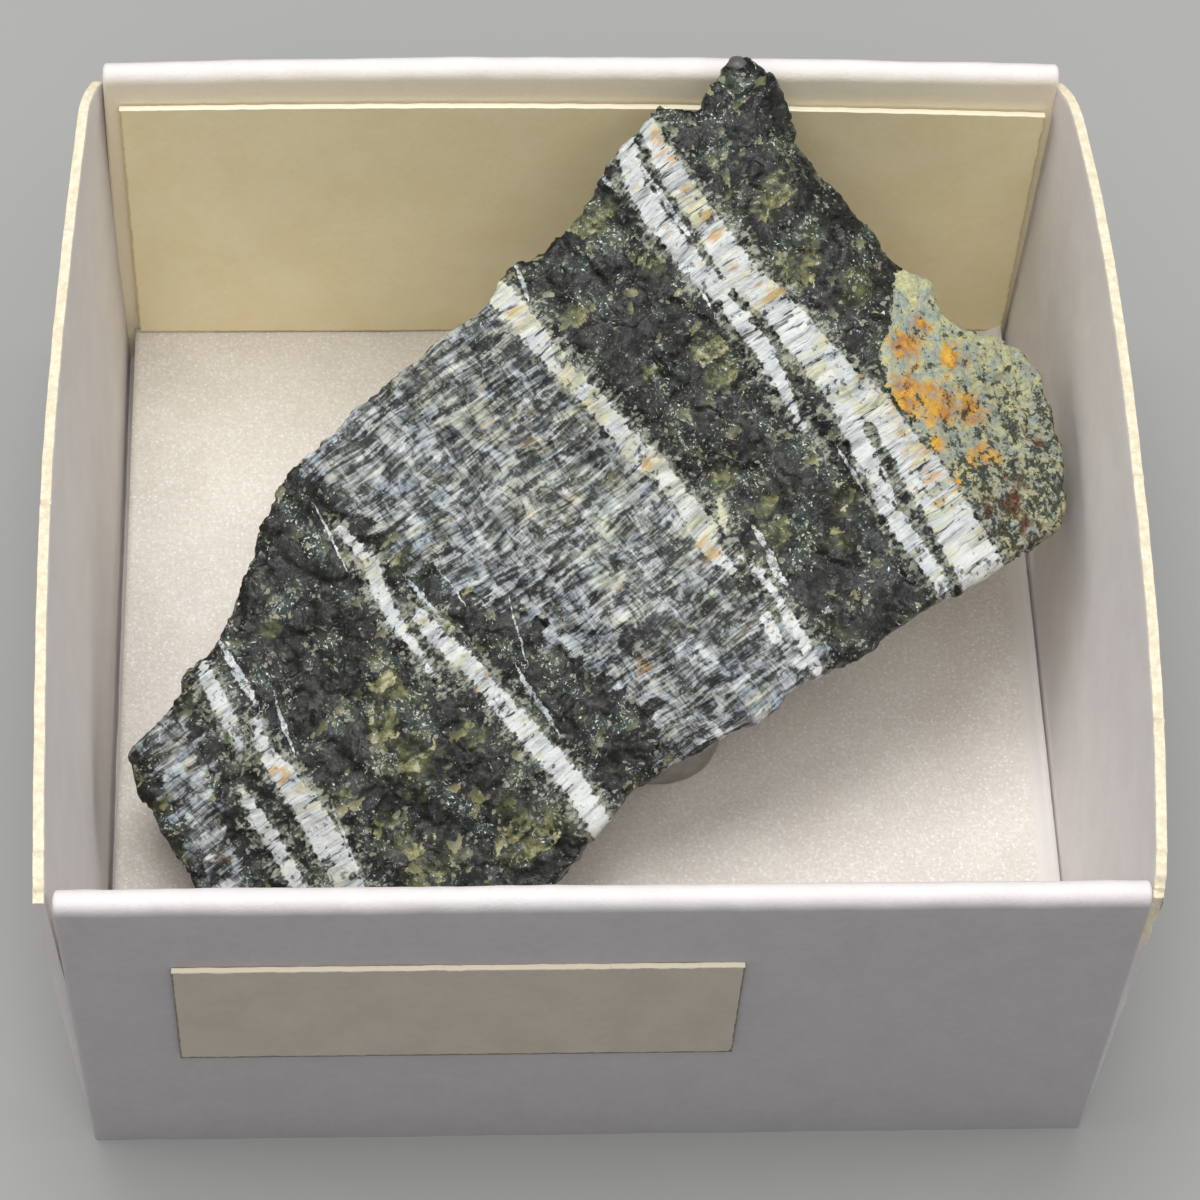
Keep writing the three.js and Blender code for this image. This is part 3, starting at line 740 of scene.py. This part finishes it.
# %% Serpentine: weathered facet
weather = stone.noise(wavy, 1.4, 4, 0.62)
mottle = stone.noise(wavy, 2.2, 4, 0.7)
pale = stone.node("ShaderNodeValToRGB", {"stops": [
    (0.36, "#7b8681"), (0.45, "#9ca7a0"), (0.52, "#bcbd96"), (0.6, "#d0ce96"), (0.7, "#dedcb4")]},
    {"Fac": weather * 0.5 + mottle * 0.35 + grit * 0.15})
toward_front = stone.attribute("facet_front")
pale = stone.mix(dust.rise(0.45, 0.65) * 0.45, pale, "#7d8069")
# the facet turns darker and more mottled towards the front
front_tone = stone.mix(grit.rise(0.4, 0.6), "#4f493a", "#a3a08a")
pale = stone.mix(toward_front * mottle.rise(0.35, 0.55) * 0.5, pale, front_tone)
rust_mask = stone.attribute("rust") * 0.8 + weather.swing(2.6) + mottle.swing(1.6)
rust_mask = rust_mask.rise(-0.1, 0.7)
rusty = stone.mix((mottle * 0.5 + drift * 0.3 + dust * 0.2).rise(0.42, 0.6), "#b0651c", "#dca61c")
pale = stone.mix(rust_mask * 0.85, pale, rusty)
grain = stone.noise(place, 2.3, 5, 0.8) + clouds.swing(0.35) - toward_front * 0.1
black_grain = stone.mix(dust.rise(0.42, 0.62), "#14191a", "#454a3c")
pale = stone.mix((1 - grain.rise(0.37, 0.42)) * 0.9, pale, black_grain)
brown_mask = stone.attribute("brown") * 0.8 + weather.swing(3.0) + mottle.swing(2.0)
brown_mask = brown_mask.rise(0.1, 0.7) * grit.rise(0.38, 0.52)
pale = stone.mix(brown_mask, pale, stone.mix(dust.rise(0.4, 0.6), "#33211a", "#6f452b"))
facet_mask = (stone.attribute("weathered") + grit.swing(0.6)).rise(-0.05, 0.05)
stone_colour = stone.mix(facet_mask, fresh, pale)

stone_gloss = 0.34 + 0.2 * fibre_mask + 0.36 * facet_mask
fibrous = stone.attribute("band").most(stone.attribute("striped")).rise(-0.1, 0.1)
stone_height = facets(wavy, 2.7) * (0.8 - fibrous * 0.56) + (grit + dust) * 0.08
stone_height = stone_height + fibrous * (lines + hairs) * 0.12
place_piece(slab, "serpentine_rock", stone.give(
    Base_Color=stone_colour, Roughness=stone_gloss, Normal=stone.bump(stone_height, 0.35)))

# %% [markdown]
# ## Tray
#
# The tray is cut from one sheet of white lined board. Its front and back walls are folded
# over on themselves, so they are double with a round top. Its side walls are single, have
# sprung outward, and show the raw grey-cream core of the board along their cut edges. A sheet
# swept along a path gives all of them, and a field marks where the core is bare.

# %% Tray sizes
TRAY_DEPTH, TRAY_HEIGHT, CARD, ROLL = 39.7, 19.9, 0.45, 1.1
FLOOR_X = {"front_left": -20.0, "front_right": 19.95, "back_left": -20.15, "back_right": 20.35}
FRONT = dict(y=-TRAY_DEPTH / 2, lean=-0.23, bow=0, aged=0, foot=(-20.0, 19.95), top=(-20.22, 19.82))
BACK = dict(y=TRAY_DEPTH / 2, lean=0.05, bow=0.35, aged=1, foot=(-20.1, 20.3), top=(-19.76, 20.08))
LEFT = dict(side=-1, peak=-2, flare=1.38, front_loss=0.43, back_loss=0.96, power=1.6)
RIGHT = dict(side=1, peak=0.5, flare=1.36, front_loss=0.93, back_loss=1.1, power=2.5)
SIDE_TOP, SIDE_FRONT, SIDE_BACK = 19.6, -19.6, 19.4
CORNER = dict(length=2.4, curl=0.3, drop=0.7)


def mix(a, b, share):
    return a + (b - a) * share


def wall_outer(wall, s, z):
    rise = z / TRAY_HEIGHT
    return wall["y"] + wall["lean"] * rise + wall["bow"] * rise * math.sin(math.pi * s)


def side_outer(wall, y, z):
    ends = ("front_left", "back_left") if wall["side"] < 0 else ("front_right", "back_right")
    foot = mix(*(abs(FLOOR_X[end]) for end in ends), (y + TRAY_DEPTH / 2) / TRAY_DEPTH)
    ahead = y < wall["peak"]
    end, loss = (SIDE_FRONT, wall["front_loss"]) if ahead else (SIDE_BACK, wall["back_loss"])
    from_peak = abs(y - wall["peak"]) / abs(end - wall["peak"])
    curl = CORNER["curl"] * clamp01((y - SIDE_BACK + CORNER["length"]) / CORNER["length"]) ** 2
    return foot + (wall["flare"] - loss * from_peak ** wall["power"] - curl) * z / SIDE_TOP


print(f"Tray {TRAY_DEPTH} mm deep and {TRAY_HEIGHT} mm high, of {CARD} mm board")

# %% Swept board
def swept(name, section, stations):
    """A closed skin through rings of (x, y, z, core, outside, aged), one ring a station."""
    rings = [section(station) for station in stations]
    count = len(rings[0])
    points = [p for ring in rings for p in ring]
    faces = []
    for r in range(len(rings) - 1):
        for k in range(count):
            n = (k + 1) % count
            faces.append((r * count + k, r * count + n, (r + 1) * count + n, (r + 1) * count + k))
    faces.append(tuple(reversed(range(count))))
    faces.append(tuple(range((len(rings) - 1) * count, len(rings) * count)))
    piece = mesh_object(name, [p[:3] for p in points], faces)
    for column, field in enumerate(("core", "outside", "aged"), 3):
        give_field(piece, field, [p[column] for p in points])
    return piece


# %% Rolled walls
END_ROUND = 0.18  # the ends of the rolled walls are rounded off by this
ROLL_STEPS = 15
YELLOW_TINT_FADE = 0.7  # the back wall's yellow tint on the lining fades out over this, below the top
OUTSIDE_SHADE_ENDS = math.radians(70)  # how far round the top the outside's painted shade fades into the lining


def rolled_section():
    """Board that goes up, over a round top and down again: (offset, height, outside)."""
    radius = ROLL / 2
    path = [(0.0, z, 1) for z in np.linspace(0, TRAY_HEIGHT - radius, ROLL_STEPS)]
    path += [(radius - radius * math.cos(a), TRAY_HEIGHT - radius + radius * math.sin(a),
              clamp01(1 - a / OUTSIDE_SHADE_ENDS)) for a in np.linspace(0, math.pi, ROLL_STEPS)[1:-1]]
    path += [(ROLL, z, 0) for z in np.linspace(TRAY_HEIGHT - radius, CARD, ROLL_STEPS)]
    return path


def rolled_wall(name, wall):
    inward = 1 if wall["y"] < 0 else -1
    path = rolled_section()

    def section(s):
        ring = []
        from_end = min(s, 1 - s) * (wall["top"][1] - wall["top"][0])
        pinch = 1 - math.sqrt(1 - (1 - min(1, from_end / END_ROUND)) ** 2)
        for off, z, outside in path:
            rise = z / TRAY_HEIGHT
            left, right = (mix(wall["foot"][end], wall["top"][end], rise) for end in (0, 1))
            x = mix(left, right, s)
            off = mix(off, ROLL / 2, pinch * END_ROUND * 2 / ROLL)
            sway = 0.035 * noise.noise(Vector((x * 0.25, off, z * 0.3 + wall["y"])))
            dent = 0.025 * noise.noise(Vector((x * 1.1, off * 2, z * 1.3 + wall["y"])))
            sag = 0.05 * rise ** 8 * noise.noise(Vector((x * 0.4, 3.0, wall["y"])))
            # the outside share marks the board's painted shade, which fades out round the top
            ring.append((x, wall_outer(wall, s, z) + inward * off + sway + dent,
                         z - pinch * END_ROUND * rise ** 8 + sag - 0.03, 0, outside,
                         wall["aged"] * (outside == 0) * clamp01((TRAY_HEIGHT - z) / YELLOW_TINT_FADE)))
        return ring if inward < 0 else ring[::-1]

    round_off = [0.0, 0.0012, 0.0028, 0.0045]
    stations = [*round_off, *np.linspace(0.012, 0.988, 120), *(1 - s for s in reversed(round_off))]
    return swept(name, section, stations)


# %% Side walls
# Tufts of torn lining along a side wall's cut edge: (y, height).
TUFTS = {-1: [(-19.1, 0.16), (-17.6, 0.12), (-2.1, -0.14), (11.0, 0.06)],
         1: [(-17.9, 0.12), (-12.3, 0.14), (-1.2, 0.12), (9.4, 0.06)]}
TUFT_WIDTH = 0.09
TEAR = dict(length=0.75, depth=0.55, reach=0.3, foot=8.0, bare=15.5)  # right wall's front end


def side_wall(name, wall):
    """Single board from corner to corner, with its cut edge uppermost."""
    side = wall["side"]
    heights = list(np.linspace(0, 0.92, 44)) + [0.94, 0.97, 0.988, 0.996]
    path = [(0.0, t, 0) for t in heights]
    path += [(inset, 1.0, 1) for inset in (0.03, CARD * 0.35, CARD * 0.65, CARD - 0.03)]
    path += [(CARD, t, 0) for t in reversed(heights)]

    def section(y):
        corner = clamp01((y - SIDE_BACK + CORNER["length"]) / CORNER["length"])
        top = SIDE_TOP - CORNER["drop"] * corner ** 2
        top += sum(high * math.exp(-((y - at) / TUFT_WIDTH) ** 2) for at, high in TUFTS[side])
        from_front, from_back = y - SIDE_FRONT, SIDE_BACK - y
        if side > 0 and from_front < TEAR["length"]:
            top -= TEAR["depth"] * (1 - from_front / TEAR["length"]) ** 0.5
            top += 0.25 * noise.noise(Vector((y * 6, 0, 0)))
        at_end = from_front < 0.01 or from_back < 0.01
        ring = []
        for inset, t, core in path:
            z = t * top
            fuzz = 0.025 * noise.noise(Vector((y * 2.3, inset * 7, 4))) if core else 0
            grain = 0.02 * noise.noise(Vector((y * 0.9, z * 0.9, side * 5)))
            frayed = jag = bare = 0
            if side > 0 and z > TEAR["foot"] and from_front < TEAR["reach"]:
                fray = (z - TEAR["foot"]) / (SIDE_TOP - TEAR["foot"])
                frayed = 0.34 * abs(noise.noise(Vector((z * 1.3, inset, 8)))) * fray
                jag = 0.55 * max(0, noise.noise(Vector((z * 1.1, 2, 8)))) * fray
                jag *= (1 - from_front / TEAR["reach"]) * (inset < CARD / 2)
                bare = z > TEAR["bare"]
            x = side * (side_outer(wall, y, z) - inset - jag) + grain
            # the outer face, and the cut ends in part, carry the outside's painted shade
            ring.append((x, y + frayed, z + fuzz, max(core, bare),
                         0.35 if at_end else inset < 0.02 and not core, 0))
        return ring if side > 0 else ring[::-1]

    inner = np.linspace(SIDE_FRONT + 0.1, SIDE_BACK - 0.1, 420)
    stations = [SIDE_FRONT, SIDE_FRONT + 0.04, *inner, SIDE_BACK - 0.04, SIDE_BACK]
    return swept(name, section, stations)


# %% Floor and all walls
def tray_floor(name):
    """The floor board, held just inside the walls so that no two faces lie in one plane."""
    corners = [(FLOOR_X["front_left"], FRONT["y"]), (FLOOR_X["front_right"], FRONT["y"]),
               (FLOOR_X["back_right"], BACK["y"]), (FLOOR_X["back_left"], BACK["y"])]
    inset = 1 - 0.4 / TRAY_DEPTH

    def section(z):
        ring = []
        for (x0, y0), (x1, y1) in zip(corners, corners[1:] + corners[:1]):
            for share in np.linspace(0, 1, 12, endpoint=False):
                ring.append((mix(x0, x1, share) * inset, mix(y0, y1, share) * inset, z, 0, 0, 0))
        return ring

    return swept(name, section, [0.0, CARD / 2, CARD])


walls = [rolled_wall("front_wall", FRONT), rolled_wall("back_wall", BACK),
         side_wall("left_wall", LEFT), side_wall("right_wall", RIGHT), tray_floor("tray_floor")]
print("Walls:", [len(wall.data.vertices) for wall in walls], "points")

# %% [markdown]
# ## Board finish
#
# The lining is smooth white paper with a faint cloudy look, a fine tooth and almost no gloss.
# Its outside faces are painted greyer, a painted shade for the shade they sit in. Where a side
# wall was cut, the grey-cream core of the board shows between its two linings, rough and fibrous.

# %% Board finish
SHARP_EDGE = math.radians(40)
board = Finish("tray board", Roughness=0.62)
board_place = board.millimetres()
cloud = board.noise(board_place, 0.5, 4, 0.6)
tooth = board.noise(board_place, 7, 3, 0.7)
felt = board.noise(board_place, 2.2, 4, 0.7)
inside = board.mix(cloud.rise(0.3, 0.7), "#e8e2e1", "#ede8e7")
# painted shade: the outside faces get a greyer colour for the shade they sit in
outside = board.mix(cloud.rise(0.3, 0.7) * 0.5 + felt.rise(0.35, 0.65) * 0.5, "#b1adb0", "#b8b5b8")
lining = board.mix(board.attribute("outside"), inside, outside)
# the back wall's lining turns a lighter pale yellow just below its top
lining = board.mix(board.attribute("aged") * 0.9, lining, "#fdf0cf")
lining = board.mix(tooth.rise(0.58, 0.72) * 0.16, lining, "#a09b99")
scuffs = board.noise(board_place, 1.1, 6, 0.75).rise(0.71, 0.75)
lining = board.mix(scuffs * 0.35, lining, "#8f8685")
core = board.mix(board.noise(board_place, 3, 5, 0.75).rise(0.35, 0.65), "#ddd0b0", "#efe7d0")
board_colour = board.mix(board.attribute("core"), lining, core)
tray_board = board.give(
    Base_Color=board_colour, Normal=board.bump(tooth + felt * 0.5, 0.02))
for wall in walls:
    place_piece(wall, "card_tray", tray_board)
    wall.data.set_sharp_from_angle(angle=SHARP_EDGE)

# %% [markdown]
# ## Foam
#
# A thin sheet of packing foam lines the tray. It is soft, so it waves a little, and where it was
# cut too wide its right edge is squeezed smooth and climbs the wall. A grid with a height for
# every point is enough for that. Its skin is full of tiny closed bubbles that glint, and they are
# far too small to model, so the finish paints their glints as white spots drawn with cells, a
# painted highlight.

# %% Foam
FOAM = dict(left=-19.35, right=19.6, front=-18.6, back=18.68, top=2.8)
FOAM_STEP = 0.3
SQUEEZED = dict(width=0.8, rise=0.5)  # the right edge is pressed smooth and climbs the wall


def slab_of(name, low, high, step, lift):
    """A soft-edged sheet with a fine grid on top: lift(x, y) raises it."""
    columns, rows = (max(2, round((high[k] - low[k]) / step)) for k in (0, 1))
    piece = mesh_object(name, [
        (mix(low[0], high[0], i / columns), mix(low[1], high[1], j / rows), z)
        for z in (low[2], high[2]) for i in range(columns + 1) for j in range(rows + 1)
    ], [])

    def at(side, i, j):
        return (side * (columns + 1) + i) * (rows + 1) + j

    faces = []
    for i in range(columns):
        for j in range(rows):
            faces.append((at(1, i, j), at(1, i + 1, j), at(1, i + 1, j + 1), at(1, i, j + 1)))
            faces.append((at(0, i, j), at(0, i, j + 1), at(0, i + 1, j + 1), at(0, i + 1, j)))
        faces.append((at(0, i, 0), at(0, i + 1, 0), at(1, i + 1, 0), at(1, i, 0)))
        faces.append((at(0, i, rows), at(1, i, rows), at(1, i + 1, rows), at(0, i + 1, rows)))
    for j in range(rows):
        faces.append((at(0, 0, j), at(1, 0, j), at(1, 0, j + 1), at(0, 0, j + 1)))
        faces.append((at(0, columns, j), at(0, columns, j + 1),
                      at(1, columns, j + 1), at(1, columns, j)))
    points = vertex_array(piece.data)
    top = points[:, 2] > (low[2] + high[2]) / 2
    points[top, 2] += [lift(x, y) for x, y, _ in points[top]]
    mesh = bpy.data.meshes.new(name)
    mesh.from_pydata(points.tolist(), [], faces)
    piece.data = mesh
    return piece


def squeezed(x, reach):
    return clamp01((x - FOAM["right"] + SQUEEZED["width"]) / reach)


def foam_lift(x, y):
    waves = 0.05 * noise.noise(Vector((x * 0.3, y * 0.3, 0)))
    waves += 0.03 * noise.noise(Vector((x * 2, y * 2, 5))) - 0.05
    return waves + SQUEEZED["rise"] * squeezed(x, SQUEEZED["width"]) ** 2


foam = slab_of("foam_sheet", (FOAM["left"], FOAM["front"], CARD),
               (FOAM["right"], FOAM["back"], FOAM["top"]), FOAM_STEP, foam_lift)
give_field(foam, "squeezed", [squeezed(x, 0.25) for x, _, _ in vertex_array(foam.data)])
foam_finish = Finish("white foam", Roughness=0.6)
foam_place = foam_finish.millimetres()
skin_cloud = foam_finish.noise(foam_place, 0.35, 3, 0.5)
bubbles = foam_finish.noise(foam_place, 5, 2, 0.6)
bubble = foam_finish.node("ShaderNodeTexVoronoi", {}, {"Vector": foam_place, "Scale": 4.4})
bubble_chance = foam_finish.node("ShaderNodeSeparateColor", {}, {
    "Color": Socket(foam_finish, bubble.output.node.outputs["Color"])})
open_skin = 1 - foam_finish.attribute("squeezed")
# painted highlight: white spots for the glints of the bubbles
painted_glints = (1 - (bubble - bubbles.swing(0.4)).rise(0.14, 0.36)) * bubble_chance.rise(0.15, 0.85)
painted_shimmer = foam_finish.noise(foam_place, 7, 3, 0.8).rise(0.5, 0.66)
painted_glints = (painted_glints * 0.7).most(painted_shimmer * 0.55) * open_skin
foam_colour = foam_finish.mix(skin_cloud.rise(0.3, 0.7), "#e3dbd1", "#ebe4da")
foam_colour = foam_finish.mix(bubbles.rise(0.35, 0.65) * 0.3, foam_colour, "#cbc3b6")
# painted highlight: the glint spots are mixed in as white
foam_colour = foam_finish.mix(painted_glints, foam_colour, "#ffffff")
foam_colour = foam_finish.mix(open_skin, "#ebe5e1", foam_colour)
place_piece(foam, "foam_pad", foam_finish.give(
    Base_Color=foam_colour, Roughness=0.65 - painted_glints * 0.4,
    Normal=foam_finish.bump(bubbles, 0.015)))

# %% [markdown]
# ## Paper labels
#
# A cream card stands on the foam and leans on the back wall, and a smaller label is glued to the
# front. Both were cut by hand, so their edges wander a little. Each is a thin sheet that takes
# its place from the wall behind it. Its rim is darkened as painted shade, and its cut top edge
# is lightened as a painted highlight.

# %% Labels
NAME_CARD = dict(left=-19.15, right=19.75, left_top=18.15, right_top=17.8, thick=0.25, gap=0.1)
NUMBER_LABEL = dict(left=-16.15, right=5.15, bottom=8.0, top=15.3, thick=0.2, glue=0.02)


def paper_sheet(name, corner, thick, columns, rows):
    """A thin sheet whose front at (s, t) is corner(s, t) and which is thick along y."""
    piece = slab_of(name, (0, 0, 0), (columns, rows, 1), 1, lambda x, y: 0)
    points = vertex_array(piece.data)
    give_field(piece, "rim", [float(i in (0, columns) or j == 0) for i, j, _ in points])
    give_field(piece, "cut", [float(j == rows) for i, j, _ in points])
    for k, (i, j, side) in enumerate(points):
        x, y, z = corner(i / columns, j / rows)
        points[k] = (x, y + (0 if side > 0.5 else thick), z)
    piece.data.vertices.foreach_set("co", points.ravel())
    return piece


def ragged(along, reach, seed):
    """How far a hand-cut edge wanders at a place along it."""
    return reach * (noise.noise(Vector((along * 1.3, seed, 0)))
                    + 0.6 * noise.noise(Vector((along * 5, seed, 3))))


def name_card_face(s, t):
    right = NAME_CARD["right"] + ragged(t * 15, 0.05, 1) - 0.05
    x = mix(NAME_CARD["left"], right, s)
    top = mix(NAME_CARD["left_top"], NAME_CARD["right_top"], s) + ragged(s * 39, 0.03, 7)
    z = mix(FOAM["top"], top, t)
    share = clamp01((x - BACK["top"][0]) / (BACK["top"][1] - BACK["top"][0]))
    return x, wall_outer(BACK, share, z) - ROLL - NAME_CARD["gap"] - NAME_CARD["thick"], z


def number_label_face(s, t):
    z = mix(NUMBER_LABEL["bottom"] + ragged(s * 21, 0.03, 5),
            NUMBER_LABEL["top"] + ragged(s * 21, 0.05, 2), t)
    x = mix(NUMBER_LABEL["left"], NUMBER_LABEL["right"], s)
    return x, wall_outer(FRONT, s, z) - NUMBER_LABEL["glue"] - NUMBER_LABEL["thick"], z


def paper_finish(name, dull, fresh, edge, cut):
    """Uncoated paper: cloudy, fibrous, with painted shade along the rim and a painted highlight
    along the cut top edge.
    """
    paper = Finish(name, Roughness=0.68)
    spot = paper.millimetres()
    fibres = paper.noise(spot, 3, 4, 0.65)
    haze = paper.noise(spot, 0.4, 3, 0.5)
    colour = paper.mix(haze.rise(0.3, 0.7) * 0.6 + fibres.rise(0.3, 0.7) * 0.4, dull, fresh)
    # painted shade: the rim is darkened for the shadow line along the sheet's edges
    rim_shade = (paper.attribute("rim") + fibres.swing(0.8)).rise(0.5, 0.9)
    colour = paper.mix(rim_shade, colour, edge)
    # painted highlight: the cut top edge is lighter, as where light catches it
    colour = paper.mix((paper.attribute("cut") + fibres.swing(0.8)).rise(0.7, 0.9), colour, cut)
    return paper.give(Base_Color=colour, Normal=paper.bump(fibres, 0.015))


# %% Paper labels
name_label = paper_sheet("name_label", name_card_face, NAME_CARD["thick"], 160, 60)
wall_label = paper_sheet("wall_label", number_label_face, NUMBER_LABEL["thick"], 120, 24)
place_piece(name_label, "name_card",
            paper_finish("cream card", "#f6e6b6", "#fdf0c8", "#d9c797", "#fff8df"))
place_piece(wall_label, "number_label",
            paper_finish("label paper", "#b8ada0", "#c3b9ad", "#6d6558", "#fff3da"))
for label in (name_label, wall_label):
    label.data.set_sharp_from_angle(angle=SHARP_EDGE)

# %% [markdown]
# ## Putty
#
# A lump of mounting putty holds the slab up from the foam. Hardly any of it shows, so the CAD
# solid's own shape, made soft by a remesh and a little smoothing, is enough.

# %% Putty
putty = bpy.data.objects.new("putty_wad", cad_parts["putty"].data.copy())
putty.data.transform(Matrix.Scale(1 / MM, 4))
bpy.context.scene.collection.objects.link(putty)
add_modifier(putty, "REMESH", mode="VOXEL", voxel_size=0.2)
add_modifier(putty, "SMOOTH", factor=0.5, iterations=8)
apply_modifiers(putty)
wad = Finish("grey putty", Roughness=0.45)
wad_place = wad.millimetres()
press = wad.noise(wad_place, 0.9, 3, 0.5)
place_piece(putty, "putty", wad.give(
    Base_Color=wad.mix(press.rise(0.3, 0.7), "#7c7b74", "#94928a"), Normal=wad.bump(press, 0.1)))

# %% [markdown]
# ## Table and light
#
# The table is a plain pale sheet. Wide disk lights keep the shadows soft: a key light from
# behind and above draws the rolled tops and the slab's flakes, a fill in front keeps the front
# wall readable, and one on each side lights the side walls. A faint even world fills the rest.

# %% Studio
floor = mesh_object(
    "studio_floor", [(-1, -1, 0), (1, -1, 0), (1, 1, 0), (-1, 1, 0)], [(0, 1, 2, 3)])
floor_finish = Finish("studio floor", Roughness=0.8)
floor_finish.shader.inputs["Base Color"].default_value = paint("#a3a3a1")
floor.data.materials.append(floor_finish.material)


def area_light(name, at, aim, size, power):
    light = bpy.data.objects.new(name, bpy.data.lights.new(name, "AREA"))
    light.data.shape, light.data.size, light.data.energy = "DISK", size, power
    light.location = at
    light.rotation_euler = (Vector(aim) - Vector(at)).to_track_quat("-Z", "Y").to_euler()
    bpy.context.scene.collection.objects.link(light)
    print(f"Light {name}: {size} m wide, {power} W")


for light_name, at, size, power in (("key_light", (-0.03, 0.10, 0.45), 0.3, 1.4),
                                    ("front_fill", (0, -0.25, 0.39), 0.4, 0.85),
                                    ("left_fill", (-0.4, 0, 0.26), 0.3, 0.52),
                                    ("right_fill", (0.4, 0, 0.26), 0.3, 0.52)):
    area_light(light_name, at, (0, 0, 0.01), size, power)
world = bpy.data.worlds.new("studio")
bpy.context.scene.world = world
world.use_nodes = True
world.node_tree.nodes["Background"].inputs["Color"].default_value = (1, 1, 1, 1)
world.node_tree.nodes["Background"].inputs["Strength"].default_value = 0.13
bpy.context.scene.view_settings.view_transform = "Standard"
